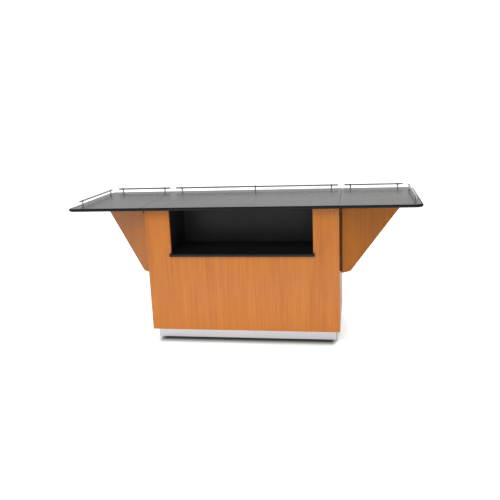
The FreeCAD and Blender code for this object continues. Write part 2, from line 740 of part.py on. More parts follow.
def swing_bracket():
    """Triangular board on a long hinge at the cabinet's front corner."""
    inner = "bracket_hinge_radius"
    board = new_body("bracket")
    corners = [
        ("end_gap", "bracket_bottom"),
        ("bracket_foot", "bracket_bottom"),
        ("bracket_width", f"{BRACKET_TOP} - bracket_tip"),
        ("bracket_width", BRACKET_TOP),
        ("end_gap", BRACKET_TOP),
    ]
    pad(board, outline(new_sketch(board, "XZ_Plane", inner), corners), "bracket_thickness")
    foot = lambda edge: along(edge, (0, 1, 0)) and matches(edge.CenterOfMass.x, "bracket_foot")
    round_edges(board, "bracket_foot_round", foot)
    outer_face = f"-({inner} + bracket_thickness)"
    round_edges(board, "panel_ease", lambda edge: matches(edge.CenterOfMass.y, outer_face))
    turned(board, "bracket_angle")
    place(board, BRACKET_AXIS_X, BRACKET_AXIS_Y)
    keep_pair("bracket", board)

    level = "(bracket_bottom + bracket_hinge_inset)"
    leaf = hinge_part("bracket_hinge_leaf", BRACKET_HINGE, "bracket_hinge_leaf", True, "-1")
    turned(leaf, "bracket_angle")
    place(leaf, BRACKET_AXIS_X, BRACKET_AXIS_Y, level)
    keep_pair("bracket_hinge_leaf", leaf)

    fixed = hinge_part("bracket_hinge_plate", BRACKET_HINGE, "bracket_hinge_leaf", False, "1")
    pin = hinge_pin("bracket_hinge_pin", "bracket_pin_radius", BRACKET_HINGE_LENGTH)
    towards_back = ((0, 1, 0), (0, 0, 1))
    for item in (fixed, pin):
        place(item, BRACKET_AXIS_X, BRACKET_AXIS_Y, level, towards_back)
    group("bracket_hinge_plates", both_sides([fixed, pin]))


def leaf_hinges():
    """Cranked hinges whose low pivot lets a leaf hang clear of a folded bracket."""
    upwards = ((0, 0, 1), (0, 1, 0))
    downwards = ((0, 0, -1), (0, 1, 0))
    rise = "leaf_hinge_drop + leaf_hinge_sheet"
    straps = []
    fixed = []
    for end, (low, high) in LEAF_HINGES.items():
        strap = hinge_part(f"leaf_strap_{end}", LEAF_HINGE, rise, True, "1")
        shoe = new_sketch(strap, "YZ_Plane", "leaf_hinge_drop")
        web = "leaf_hinge_radius - leaf_hinge_sheet"
        rectangle(shoe, web, f"{STRAP_END} - {LEAF_AXIS_X}", "0", "leaf_hinge_width")
        pad(strap, shoe, "leaf_hinge_sheet")
        straps.append(place(strap, LEAF_AXIS_X, low, LEAF_AXIS_Z, upwards))
        plate = hinge_part(f"leaf_plate_{end}", LEAF_HINGE, "leaf_hinge_plate", False, "1")
        pin = hinge_pin(f"leaf_pin_{end}", "leaf_pin_radius", "leaf_hinge_width")
        for item in (plate, pin):
            fixed.append(place(item, LEAF_AXIS_X, low, LEAF_AXIS_Z, downwards))
    group("right_leaf_hinge_straps", straps)
    group("left_leaf_hinge_straps", left_twins(straps))
    group("leaf_hinge_plates", both_sides(fixed))


# --------------------------------------------------------------- rear doors
def rear_doors():
    """Two inset doors on butt hinges, each with a pull."""
    half_gap = "(door_gap / 2)"
    door = block("door", (half_gap, DOOR_EDGE), (f"{DOOR_FRONT} + door_seat_gap", BACK_EDGE),
                 (DOOR_BOTTOM, DOOR_TOP))
    back = lambda edge: matches(edge.CenterOfMass.y, BACK_EDGE)
    round_edges(door, "panel_ease", back)
    keep_pair("door", door)
    keep_pair("door_pull", door_pull())

    towards_front = ((0, -1, 0), (0, 0, 1))
    levels = {
        "low": f"({DOOR_BOTTOM} + door_hinge_inset)",
        "high": f"({DOOR_TOP} - door_hinge_inset - door_hinge_length)",
    }
    leaves = []
    fixed = []
    for level_name, level in levels.items():
        leaf = door_hinge_half(f"door_leaf_{level_name}", True)
        leaves.append(place(leaf, DOOR_AXIS_X, DOOR_AXIS_Y, level, towards_front))
        plate = door_hinge_half(f"door_plate_{level_name}", False)
        pin = hinge_pin(f"door_pin_{level_name}", "door_pin_radius", "door_hinge_length")
        for item in (plate, pin):
            fixed.append(place(item, DOOR_AXIS_X, DOOR_AXIS_Y, level, towards_front))
    group("right_door_hinge_leaves", leaves)
    group("left_door_hinge_leaves", left_twins(leaves))
    group("door_hinge_plates", both_sides(fixed))


def door_hinge_half(name, moving):
    """Half of a butt hinge whose leaf lies in the gap beside the door."""
    pitch = "(door_hinge_length / 3)"
    far = "(door_gap / 2)"
    close = f"({far} - door_hinge_sheet)"
    sides = (f"-{far}", f"-{close}") if moving else (close, far)
    reach = "(door_hinge_radius + end_gap)"
    body = new_body(name)
    leaf = new_sketch(body, "XY_Plane")
    pad(body, rectangle(leaf, reach, "door_hinge_leaf", sides[0], sides[1]), "door_hinge_length")
    starts = [pitch] if moving else ["0", f"2 * {pitch}"]
    for start in starts:
        foot = f"{start} + end_gap / 2"
        tab = rectangle(new_sketch(body, "XY_Plane", foot), "0", reach, sides[0], sides[1])
        pad(body, tab, f"{pitch} - end_gap")
        knuckle = circle(new_sketch(body, "XY_Plane", foot), "0", "0", "door_hinge_radius")
        pad(body, knuckle, f"{pitch} - end_gap")
    bore = new_sketch(body, "XY_Plane", "door_hinge_length")
    circle(bore, "0", "0", "door_pin_radius + running_gap")
    pocket(body, bore, "door_hinge_length")
    return body


def door_pull():
    """Strip bent into a bow, its two feet on the door's back face."""
    body = new_body("door_pull")
    outer = "(pull_length / 2 + pull_strip / 2)"
    inner = "(pull_length / 2 - pull_strip / 2)"
    under = "(pull_reach - pull_strip)"
    corners = [
        ("0", f"-{outer}"),
        ("pull_reach", f"-{outer}"),
        ("pull_reach", outer),
        ("0", outer),
        ("0", inner),
        (under, inner),
        (under, f"-{inner}"),
        ("0", f"-{inner}"),
    ]
    sketch = outline(new_sketch(body, "YZ_Plane", "-pull_width / 2"), corners)
    pad(body, sketch, "pull_width")
    outside = lambda edge: along(edge, (1, 0, 0)) and matches(edge.CenterOfMass.y, "pull_reach")
    round_edges(body, "pull_bend", outside)
    inside = lambda edge: along(edge, (1, 0, 0)) and matches(edge.CenterOfMass.y, under)
    round_edges(body, "pull_bend - pull_strip", inside)
    return place(body, "door_gap / 2 + pull_inset", BACK_EDGE, "pull_height")


def door_catches():
    """Magnetic catches under the header, one for each door."""
    near_middle = "(door_gap / 2 + catch_inset)"
    face = f"({DOOR_FRONT} - catch_setback)"
    low = f"({HEADER_UNDER} - catch_height)"
    catch = block("door_catch", (near_middle, f"{near_middle} + catch_length"),
                  (f"{DOOR_FRONT} - panel_thickness", face), (low, HEADER_UNDER))
    lower = lambda edge: matches(edge.CenterOfMass.z, low) and not matches(edge.CenterOfMass.y, face)
    round_edges(catch, "catch_round", lower)
    group("door_catches", both_sides([catch]))


# ------------------------------------------------------------------ casters
def caster_plate(name, x, y):
    """Mounting plate with the upper race, bored for the kingpin."""
    body = new_body(name)
    half_length, half_width = "caster_plate_length / 2", "caster_plate_width / 2"
    sketch = new_sketch(body, "XY_Plane", PLATE_UNDER)
    rectangle(sketch, f"-{half_length}", half_length, f"-{half_width}", half_width)
    pad(body, sketch, "caster_plate_sheet")
    round_edges(body, "caster_plate_round", lambda edge: along(edge, (0, 0, 1)))
    low = f"({RACE_MIDDLE} + race_gap / 2)"
    race = circle(new_sketch(body, "XY_Plane", low), "0", "0", "race_radius")
    pad(body, race, f"{PLATE_UNDER} - {low}")
    bore = new_sketch(body, "XY_Plane", "deck_height")
    circle(bore, "0", "0", "kingpin_radius + running_gap")
    pocket(body, bore, f"deck_height - {low}")
    return place(body, x, y)


def caster_fork(name, x, y):
    """Fork folded round the wheel, with the lower race and the kingpin."""
    body = new_body(name)
    foot = "(fork_foot_round + fork_foot_flat)"
    leg = [
        ("-race_radius", CROWN_TOP),
        ("-race_radius", f"{CROWN_TOP} - fork_brow"),
        (f"caster_trail - {foot}", f"wheel_radius - {foot}"),
        (f"caster_trail + {foot}", f"wheel_radius - {foot}"),
        (f"caster_trail + {foot}", "wheel_radius + fork_foot_round"),
        ("caster_trail", CROWN_TOP),
    ]
    sketch = outline(new_sketch(body, "XZ_Plane", f"-{FORK_OUTER}"), leg)
    pad(body, sketch, f"2 * {FORK_OUTER}")
    feet = lambda edge: (
        along(edge, (0, 1, 0))
        and matches(edge.CenterOfMass.z, f"wheel_radius - {foot}")
    )
    round_edges(body, "fork_foot_round", feet)
    slot = new_sketch(body, "YZ_Plane")
    rectangle(slot, f"-{FORK_INNER}", FORK_INNER, "0", f"{CROWN_TOP} - fork_sheet")
    pocket(body, slot, f"2 * (race_radius + caster_trail + {foot})", symmetric=True)
    race = circle(new_sketch(body, "XY_Plane", CROWN_TOP), "0", "0", "race_radius - race_gap")
    pad(body, race, f"{RACE_MIDDLE} - race_gap / 2 - {CROWN_TOP}")
    kingpin = circle(new_sketch(body, "XY_Plane", CROWN_TOP), "0", "0", "kingpin_radius")
    pad(body, kingpin, f"deck_height - end_gap - {CROWN_TOP}")
    bore = new_sketch(body, "XZ_Plane")
    circle(bore, "caster_trail", "wheel_radius", "axle_radius + running_gap")
    pocket(body, bore, f"2 * ({FORK_OUTER} + fork_sheet)", symmetric=True)
    return place(body, x, y)


def wheel_piece(name, profile, x, y):
    """A piece turned about the axle from a half section of (radius, width)."""
    body = new_body(name)
    revolve(body, outline(new_sketch(body, "XZ_Plane"), profile))
    return place(body, f"{x} + caster_trail", y, "wheel_radius", ALONG_Y)


def hexagon(sketch, across):
    """A regular hexagon about the sketch's origin, given across its flats."""
    corner, side = f"({across} / sqrt(3))", f"({across} / 2)"
    return outline(sketch, [
        (corner, "0"),
        (f"{corner} / 2", side),
        (f"-{corner} / 2", side),
        (f"-{corner}", "0"),
        (f"-{corner} / 2", f"-{side}"),
        (f"{corner} / 2", f"-{side}"),
    ])


def caster_axle(name, x, y):
    """A bolt through the fork and the wheel, with its hexagon head and nut."""
    body = new_body(name)
    head_end = f"({FORK_OUTER} + axle_head_height)"
    shaft = circle(new_sketch(body, "XY_Plane", f"-{head_end}"), "0", "0", "axle_radius")
    pad(body, shaft, f"2 * {head_end} + axle_end")
    for foot in (f"-{head_end}", FORK_OUTER):
        sketch = hexagon(new_sketch(body, "XY_Plane", foot), "axle_hexagon")
        pad(body, sketch, "axle_head_height")
    return place(body, f"{x} + caster_trail", y, "wheel_radius", ALONG_Y)


def wheel_hub():
    """Half section of the hub: boss, thin web and rim."""
    boss = f"({FORK_INNER} - end_gap)"
    rim_out = "(wheel_radius - wheel_tread)"
    rim_in = f"({rim_out} - wheel_rim)"
    half_rim = "(wheel_width / 2 - wheel_rim_setback)"
    half_web = "(wheel_web / 2)"
    bore = "(axle_radius + running_gap)"
    return [
        (bore, f"-{boss}"),
        ("wheel_boss_radius", f"-{boss}"),
        ("wheel_boss_radius", f"-{half_web}"),
        (rim_in, f"-{half_web}"),
        (rim_in, f"-{half_rim}"),
        (rim_out, f"-{half_rim}"),
        (rim_out, half_rim),
        (rim_in, half_rim),
        (rim_in, half_web),
        ("wheel_boss_radius", half_web),
        ("wheel_boss_radius", boss),
        (bore, boss),
    ]


def wheel_tread():
    """Half section of the tread, with bevelled shoulders."""
    inside = "(wheel_radius - wheel_tread + wheel_bond_gap)"
    half = "(wheel_width / 2)"
    shoulder = "(wheel_radius - wheel_tread_bevel)"
    flat = f"({half} - wheel_tread_bevel)"
    return [
        (inside, f"-{half}"),
        (shoulder, f"-{half}"),
        ("wheel_radius", f"-{flat}"),
        ("wheel_radius", flat),
        (shoulder, half),
        (inside, half),
    ]


def casters():
    """Four swivel casters hidden behind the skirt."""
    places = {
        "front_right": ("caster_x", "-caster_y"),
        "front_left": ("-caster_x", "-caster_y"),
        "back_right": ("caster_x", "caster_y"),
        "back_left": ("-caster_x", "caster_y"),
    }
    plates = []
    for corner, (x, y) in places.items():
        plates.append(caster_plate(f"{corner}_caster_plate", x, y))
        keep(caster_fork(f"{corner}_fork", x, y))
        keep(caster_axle(f"{corner}_axle", x, y))
        keep(wheel_piece(f"{corner}_hub", wheel_hub(), x, y))
        keep(wheel_piece(f"{corner}_tyre", wheel_tread(), x, y))
    group("caster_plates", plates)


# ----------------------------------------------------------- build and export
def check():
    """Stop if anything failed, or a sub-part isn't a sound solid."""
    for item in doc.Objects:
        if "Invalid" in item.State or "Error" in item.State:
            sys.exit(f"{item.Label} did not build: {item.State}")
    for part in parts:
        if part.Shape.isNull() or not part.Shape.isValid() or not part.Shape.Solids:
            sys.exit(f"{part.Label} is not a sound solid")


front_panel()
end_panels()
cabinet_boards()
shelf_pins()
shelf_nosing()
skirt()
centre_top()
leaf_board()
leaf_edging()
centre_rail()
leaf_rails()
swing_bracket()
leaf_hinges()
rear_doors()
door_catches()
casters()
doc.recompute()
check()

os.makedirs("parts", exist_ok=True)
for part in parts:
    part.Shape.exportStep(f"parts/{part.Label}.step")
print(len(parts), "sub-parts")
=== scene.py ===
import json
import math

import bmesh
import bpy
from mathutils import Matrix, Vector


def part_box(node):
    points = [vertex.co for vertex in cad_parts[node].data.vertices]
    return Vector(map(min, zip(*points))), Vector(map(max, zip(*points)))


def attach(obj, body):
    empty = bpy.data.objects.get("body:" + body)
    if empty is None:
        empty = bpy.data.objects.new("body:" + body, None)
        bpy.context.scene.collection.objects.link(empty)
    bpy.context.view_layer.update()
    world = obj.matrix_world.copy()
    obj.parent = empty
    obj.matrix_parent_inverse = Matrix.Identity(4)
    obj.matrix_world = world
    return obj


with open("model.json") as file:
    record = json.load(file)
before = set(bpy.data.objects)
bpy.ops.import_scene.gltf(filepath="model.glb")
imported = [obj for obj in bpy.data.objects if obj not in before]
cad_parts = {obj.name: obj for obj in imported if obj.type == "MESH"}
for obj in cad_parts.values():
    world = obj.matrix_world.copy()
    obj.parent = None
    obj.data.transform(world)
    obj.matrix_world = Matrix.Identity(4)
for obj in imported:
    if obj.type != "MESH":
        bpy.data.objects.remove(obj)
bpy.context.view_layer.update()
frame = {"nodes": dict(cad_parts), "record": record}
NODES = frame["nodes"]
MM = 0.001

# ------------------------------------------------------- places taken from the part
SIDES = {"right": 1, "left": -1}
SKIRT_HALF_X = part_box("skirt_ends")[1].x
SKIRT_HALF_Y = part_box("skirt_rear")[1].y
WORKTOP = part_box("centre_top")[1].z
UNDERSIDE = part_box("centre_top")[0].z
END_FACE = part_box("right_end_panel")[1].x
DOOR_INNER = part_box("right_door")[0].y
PLATE_UNDER = 151 * MM  # underside of the casters' mounting plates
FLANGE_UNDER = 153.5 * MM  # underside of the skirt's flanges


# ------------------------------------------------------------------ node helpers
class Shader:
    """A node tree that is written one call at a time, from inputs to output."""

    def __init__(self, tree):
        self.tree = tree
        self.tree.nodes.clear()

    def node(self, kind, inputs=None, **settings):
        """Add a node, set its options, and link or set its inputs by name or number."""
        item = self.tree.nodes.new("ShaderNode" + kind)
        for name, setting in settings.items():
            setattr(item, name, setting)
        for name, source in (inputs or {}).items():
            if isinstance(source, bpy.types.NodeSocket):
                self.tree.links.new(source, item.inputs[name])
            else:
                item.inputs[name].default_value = source
        return item

    def math(self, operation, first, second):
        return self.node("Math", {0: first, 1: second}, operation=operation).outputs[0]

    def vector(self, operation, first, second=(0.0, 0.0, 0.0)):
        item = self.node("VectorMath", {0: first, 1: second}, operation=operation)
        return item.outputs["Value" if operation == "LENGTH" else "Vector"]

    def places(self, scale):
        """Row-frame metres of the surface at rest, times a scale for each axis."""
        where = self.node("TexCoord").outputs["Object"]
        return self.vector("MULTIPLY", where, scale)

    def noise(self, scale, detail=2.0, roughness=0.5, distortion=0.0):
        """Noise from 0 to 1 whose features repeat scale times a metre on each axis."""
        inputs = {"Vector": self.places(scale), "Scale": 1.0, "Detail": detail,
                  "Roughness": roughness, "Distortion": distortion}
        return self.node("TexNoise", inputs).outputs["Fac"]

    def remap(self, source, low, high, to_low=0.0, to_high=1.0):
        inputs = {"Value": source, "From Min": low, "From Max": high,
                  "To Min": to_low, "To Max": to_high}
        return self.node("MapRange", inputs).outputs["Result"]

    def ramp(self, source, stops):
        """Colours by position; stops are (position, (r, g, b)) pairs."""
        item = self.node("ValToRGB", {"Fac": source})
        elements = item.color_ramp.elements
        while len(elements) < len(stops):
            elements.new(0.5)
        for element, (position, colour) in zip(elements, stops):
            element.position = position
            element.color = (*colour, 1.0)
        return item.outputs["Color"]

    def mix(self, amount, first, second, blend="MIX"):
        """Colours blended by an amount from 0 to 1."""
        item = self.node("Mix", data_type="RGBA", blend_type=blend)
        for name, source in (("Factor", amount), ("A", first), ("B", second)):
            sockets = [s for s in item.inputs if s.name == name and s.enabled]
            if isinstance(source, bpy.types.NodeSocket):
                self.tree.links.new(source, sockets[0])
            else:
                sockets[0].default_value = source
        return [s for s in item.outputs if s.enabled][0]

    def bump(self, height, depth):
        """A bump whose full height is depth metres."""
        inputs = {"Height": height, "Distance": depth, "Strength": 1.0}
        return self.node("Bump", inputs).outputs["Normal"]

    def finish(self, **inputs):
        """The surface shader, with its inputs given as keywords."""
        named = {name.replace("_", " "): source for name, source in inputs.items()}
        shader = self.node("BsdfPrincipled", named)
        self.node("OutputMaterial", {"Surface": shader.outputs["BSDF"]})


def new_material(name):
    material = bpy.data.materials.new(name)
    material.use_nodes = True
    return material, Shader(material.node_tree)


# ---------------------------------------------------------------------- materials
def wood_laminate(name="wood_laminate", shade=1.0, sheen=0.35):
    """Satin cherry laminate, its grain upright: bands, streaks, fine lines and pores."""
    material, s = new_material(name)
    bands = s.noise((14.0, 14.0, 0.8), detail=2.0, distortion=0.4)
    streaks = s.noise((90.0, 90.0, 2.2), detail=3.0, roughness=0.6, distortion=0.15)
    lines = s.noise((420.0, 420.0, 7.0), detail=2.0, roughness=0.6)
    pores = s.remap(s.noise((1300.0, 1300.0, 45.0), detail=1.0), 0.60, 0.74)
    tone = s.math("ADD", s.math("MULTIPLY", bands, 0.30), s.math("MULTIPLY", streaks, 0.42))
    tone = s.math("ADD", tone, s.math("MULTIPLY", lines, 0.28))
    colour = s.ramp(tone, [
        (0.32, (0.210, 0.057, 0.002)),
        (0.47, (0.276, 0.084, 0.005)),
        (0.58, (0.317, 0.103, 0.008)),
        (0.72, (0.362, 0.129, 0.014)),
    ])
    colour = s.mix(s.math("MULTIPLY", pores, 0.35), colour, (0.18, 0.045, 0.006, 1.0))
    # a shade under 1.0 darkens the whole colour: painted shade
    colour = s.mix(1.0, colour, (shade, shade, shade, 1.0), "MULTIPLY")
    gloss = s.remap(streaks, 0.3, 0.7, 0.36, 0.46)
    s.finish(
        Base_Color=colour,
        Roughness=gloss,
        Specular_IOR_Level=sheen,
        Normal=s.bump(s.math("SUBTRACT", lines, pores), 0.00008),
    )
    return material


def black_laminate():
    """Satin black laminate with a fine crystal texture and faint, broad wipe marks."""
    material, s = new_material("black_laminate")
    crystal = s.noise((500.0, 500.0, 500.0), detail=1.0)
    speckle = s.noise((260.0, 260.0, 260.0), detail=1.0)
    wipes = s.noise((1.6, 3.5, 1.6), detail=1.0)
    colour = s.ramp(speckle, [
        (0.35, (0.013, 0.013, 0.014)),
        (0.65, (0.017, 0.017, 0.018)),
    ])
    s.finish(
        Base_Color=colour,
        Roughness=s.remap(wipes, 0.3, 0.7, 0.26, 0.28),
        Specular_IOR_Level=0.29,
        Normal=s.bump(crystal, 0.000004),
    )
    return material


def black_board():
    """Smooth black laminate of the niche, a little duller than the top."""
    material, s = new_material("black_board")
    grain = s.noise((600.0, 600.0, 600.0), detail=2.0)
    scuffs = s.noise((9.0, 9.0, 4.0), detail=4.0, roughness=0.6)
    colour = s.ramp(scuffs, [
        (0.35, (0.005, 0.005, 0.006)),
        (0.70, (0.009, 0.009, 0.010)),
    ])
    s.finish(
        Base_Color=colour,
        Specular_IOR_Level=0.25,
        Roughness=s.remap(scuffs, 0.3, 0.7, 0.34, 0.46),
        Normal=s.bump(grain, 0.00005),
    )
    return material


def white_board():
    """Matt white melamine with a fine pebble and faint warm marks."""
    material, s = new_material("white_board")
    pebble = s.noise((500.0, 500.0, 500.0), detail=2.0)
    marks = s.noise((6.0, 6.0, 6.0), detail=4.0)
    colour = s.ramp(marks, [
        (0.30, (0.66, 0.65, 0.61)),
        (0.60, (0.76, 0.755, 0.73)),
    ])
    s.finish(
        Base_Color=colour,
        Roughness=s.remap(pebble, 0.3, 0.7, 0.45, 0.55),
        Normal=s.bump(pebble, 0.00006),
    )
    return material


def black_edging(name="black_edging", sheen=0.15):
    """Soft black edge moulding with a faint drawn grain along it."""
    material, s = new_material(name)
    drawn = s.noise((4.0, 4.0, 700.0), detail=2.0)
    dust = s.noise((40.0, 40.0, 40.0), detail=3.0)
    colour = s.ramp(dust, [
        (0.35, (0.004, 0.004, 0.004)),
        (0.70, (0.008, 0.008, 0.008)),
    ])
    s.finish(
        Base_Color=colour,
        Roughness=s.remap(dust, 0.3, 0.7, 0.38, 0.5),
        Specular_IOR_Level=sheen,
        Normal=s.bump(drawn, 0.00005),
    )
    return material


def chrome():
    """Bright plate with faint polishing waves."""
    material, s = new_material("chrome")
    waves = s.noise((60.0, 60.0, 60.0), detail=2.0)
    haze = s.noise((15.0, 15.0, 15.0), detail=3.0)
    colour = s.ramp(haze, [
        (0.30, (0.34, 0.35, 0.37)),
        (0.70, (0.44, 0.45, 0.47)),
    ])
    s.finish(
        Base_Color=colour,
        Metallic=1.0,
        Roughness=s.remap(haze, 0.3, 0.7, 0.14, 0.22),
        Normal=s.bump(waves, 0.00002),
    )
    return material


def skirt_steel():
    """Satin stainless sheet, brushed along its length."""
    material, s = new_material("skirt_steel")
    brush = s.noise((3.0, 3.0, 1100.0), detail=3.0, roughness=0.7)
    cloud = s.noise((4.0, 4.0, 9.0), detail=3.0)
    colour = s.ramp(brush, [
        (0.30, (0.42, 0.43, 0.46)),
        (0.70, (0.53, 0.54, 0.57)),
    ])
    s.finish(
        Base_Color=colour,
        Metallic=1.0,
        Roughness=s.remap(cloud, 0.3, 0.7, 0.30, 0.38),
        Anisotropic=0.5,
        Normal=s.bump(brush, 0.00003),
    )
    return material


def black_steel():
    """Black powder-coated steel with an orange-peel skin."""
    material, s = new_material("black_steel")
    peel = s.noise((350.0, 350.0, 350.0), detail=1.0)
    wear = s.noise((25.0, 25.0, 25.0), detail=4.0)
    colour = s.ramp(wear, [
        (0.35, (0.012, 0.011, 0.010)),
        (0.75, (0.028, 0.025, 0.022)),
    ])
    s.finish(
        Base_Color=colour,
        Roughness=s.remap(wear, 0.3, 0.7, 0.36, 0.5),
        Normal=s.bump(peel, 0.00008),
    )
    return material


def zinc_steel():
    """Bright zinc plate, faintly mottled blue and yellow."""
    material, s = new_material("zinc_steel")
    mottle = s.noise((45.0, 45.0, 45.0), detail=4.0, roughness=0.6, distortion=0.5)
    spangle = s.noise((400.0, 400.0, 400.0), detail=1.0)
    colour = s.ramp(mottle, [
        (0.32, (0.50, 0.53, 0.58)),
        (0.50, (0.60, 0.61, 0.62)),
        (0.70, (0.64, 0.61, 0.54)),
    ])
    s.finish(
        Base_Color=colour,
        Metallic=1.0,
        Roughness=s.remap(mottle, 0.3, 0.7, 0.28, 0.42),
        Normal=s.bump(spangle, 0.00004),
    )
    return material


def hub_plastic():
    """Moulded dark nylon."""
    material, s = new_material("hub_plastic")
    spark = s.noise((700.0, 700.0, 700.0), detail=1.0)
    flow = s.noise((30.0, 30.0, 30.0), detail=3.0, distortion=0.7)
    colour = s.ramp(flow, [
        (0.30, (0.040, 0.040, 0.044)),
        (0.70, (0.062, 0.062, 0.067)),
    ])
    s.finish(
        Base_Color=colour,
        Roughness=s.remap(flow, 0.3, 0.7, 0.42, 0.56),
        Normal=s.bump(spark, 0.00006),
    )
    return material


def rubber():
    """Grey rubber tread, dusty where it rolls."""
    material, s = new_material("rubber")
    dust = s.noise((55.0, 55.0, 55.0), detail=4.0, roughness=0.65)
    pits = s.noise((500.0, 500.0, 500.0), detail=2.0)
    colour = s.ramp(dust, [
        (0.35, (0.125, 0.125, 0.130)),
        (0.70, (0.200, 0.197, 0.190)),
    ])
    s.finish(
        Base_Color=colour,
        Roughness=s.remap(dust, 0.3, 0.7, 0.65, 0.85),
        Normal=s.bump(pits, 0.0001),
    )
    return material


MATERIALS = {
    maker.__name__: maker()
    for maker in (wood_laminate, black_laminate, black_board, white_board, black_edging, chrome,
                  skirt_steel, black_steel, zinc_steel, hub_plastic, rubber)
}
for entry in frame["record"]["subparts"]:
    mesh = NODES[entry["node"]].data
    mesh.materials.clear()
    mesh.materials.append(MATERIALS[entry["material_slot"]])

# the brackets' laminate is a little darker, by a painted shade, and duller than the panels,
# and the nosing is glossier than the tops' edging
BRACKET_PAINTED_SHADE = 0.88
BRACKET_SHEEN = 0.15
NOSING_SHEEN = 0.25
bracket_wood_painted_shade = wood_laminate("bracket_wood_painted_shade", BRACKET_PAINTED_SHADE, BRACKET_SHEEN)
for side in SIDES:
    NODES[f"{side}_bracket"].data.materials[0] = bracket_wood_painted_shade
NODES["shelf_nosing"].data.materials[0] = black_edging("nosing_edging", NOSING_SHEEN)


# ------------------------------------------------------------- fasteners and collars
TURN_STEPS = 24
HEXAGON = 6
SHARP_ANGLE = math.radians(32)
SCREW_RADIUS = 4.0 * MM
SCREW_DEPTH = 1.5 * MM
SCREW_PROUD = 0.35 * MM
FLUSH_PROUD = 0.12 * MM
PAN_RADIUS = 4.5 * MM
PAN_HEIGHT = 2.4 * MM
BOLT_ACROSS = 13.0 * MM
BOLT_HEIGHT = 5.0 * MM
WASHER = 1.4 * MM
COLLAR_PROFILE = [(5.0, 0.0), (9.5, 0.0), (9.5, 0.8), (8.6, 1.6), (6.6, 2.2), (5.0, 2.2)]  # mm


def standing(at, normal):
    """A frame at a point, its own Z along a normal."""
    turn = Vector(normal).to_track_quat("Z", "Y").to_matrix().to_4x4()
    return Matrix.Translation(Vector(at)) @ turn


def add_ring(bm, where, radius, height, steps=TURN_STEPS):
    """Vertices of a circle about a frame's Z, at a height along it."""
    angles = [2 * math.pi * step / steps for step in range(steps)]
    return [
        bm.verts.new(where @ Vector((radius * math.cos(a), radius * math.sin(a), height)))
        for a in angles
    ]


def join_rings(bm, lower, upper):
    """Quads between two rings of as many vertices, facing outwards if the first is lower."""
    count = len(lower)
    for index in range(count):
        following = (index + 1) % count
        bm.faces.new((lower[index], lower[following], upper[following], upper[index]))


def close_between(bm, loops, normal):
    """Fill the flat area that closed loops of vertices bound."""
    edges = []
    for loop in loops:
        for index, vertex in enumerate(loop):
            pair = (vertex, loop[(index + 1) % len(loop)])
            edges.append(bm.edges.get(pair) or bm.edges.new(pair))
    bmesh.ops.triangle_fill(bm, edges=edges, use_beauty=True, normal=normal)


def add_turned_ring(bm, where, profile):
    """A closed ring turned from (radius, height) pairs that go round its section."""
    rings = [add_ring(bm, where, radius, height) for radius, height in profile]
    for ring, following in zip(rings, rings[1:] + rings[:1]):
        join_rings(bm, ring, following)


def cross_outline(bm, where, reach, half_width, height):
    """Twelve vertices of a cross about a frame's Z."""
    vertices = []
    for quarter in range(4):
        turn = Matrix.Rotation(quarter * math.pi / 2, 4, "Z")
        for corner in ((half_width, -half_width), (reach, -half_width), (reach, half_width)):
            vertices.append(bm.verts.new(where @ turn @ Vector((*corner, height))))
    return vertices


def add_stacked_rings(bm, where, levels, steps=TURN_STEPS):
    """Rings at (radius, height) pairs from the lowest up, joined and closed below."""
    rings = [add_ring(bm, where, radius, height, steps) for radius, height in levels]
    for lower, upper in zip(rings, rings[1:]):
        join_rings(bm, lower, upper)
    bm.faces.new(reversed(rings[0]))
    return rings


def add_cross_head(bm, at, normal, levels, mouth, bottom):
    """A round head whose cross recess narrows from its mouth to its bottom.

    The mouth and the bottom are each a cross's reach, half width and height.
    """
    where = standing(at, normal)
    crown = add_stacked_rings(bm, where, levels)[-1]
    upper = cross_outline(bm, where, *mouth)
    lower = cross_outline(bm, where, *bottom)
    join_rings(bm, lower, upper)
    facing = Vector(normal)
    close_between(bm, (crown, upper), facing)
    close_between(bm, (lower,), facing)


def add_cross_screw(bm, at, normal, proud=SCREW_PROUD):
    """A countersunk head with a cross recess, let into the surface at a point."""
    radius, depth = SCREW_RADIUS, SCREW_DEPTH
    levels = ((0.5 * radius, -depth), (radius, 0.0), (0.95 * radius, 0.6 * proud),
              (0.72 * radius, proud))
    mouth = (0.56 * radius, 0.13 * radius, proud)
    bottom = (0.42 * radius, 0.09 * radius, -0.55 * depth)
    add_cross_head(bm, at, normal, levels, mouth, bottom)


def add_flush_screw(bm, at, normal):
    """A countersunk head that stays clear of what slides past it."""
    add_cross_screw(bm, at, normal, FLUSH_PROUD)


def add_pan_screw(bm, at, normal):
    """A domed head with a cross recess, standing on the surface at a point."""
    radius, height = PAN_RADIUS, PAN_HEIGHT
    levels = ((radius, 0.0), (radius, 0.35 * height), (0.86 * radius, 0.75 * height),
              (0.62 * radius, height))
    mouth = (0.50 * radius, 0.12 * radius, height)
    bottom = (0.36 * radius, 0.08 * radius, 0.35 * height)
    add_cross_head(bm, at, normal, levels, mouth, bottom)


def add_hex_bolt(bm, at, normal):
    """A hexagon head with a chamfered, dished face, on a washer."""
    where = standing(at, normal)
    bore, rim = 0.45 * BOLT_ACROSS, 0.80 * BOLT_ACROSS
    add_turned_ring(bm, where, [(bore, 0.0), (rim, 0.0), (rim, WASHER), (bore, WASHER)])
    corner = BOLT_ACROSS / math.sqrt(3)
    levels = ((corner, WASHER), (corner, 0.85 * BOLT_HEIGHT), (0.90 * corner, BOLT_HEIGHT),
              (0.62 * corner, BOLT_HEIGHT), (0.55 * corner, 0.92 * BOLT_HEIGHT))
    rings = add_stacked_rings(bm, where, levels, HEXAGON)
    bm.faces.new(rings[-1])


def add_collar(bm, at):
    """A small turned collar round the foot of a rail post."""
    add_turned_ring(bm, standing(at, (0, 0, 1)), [(r * MM, h * MM) for r, h in COLLAR_PROFILE])


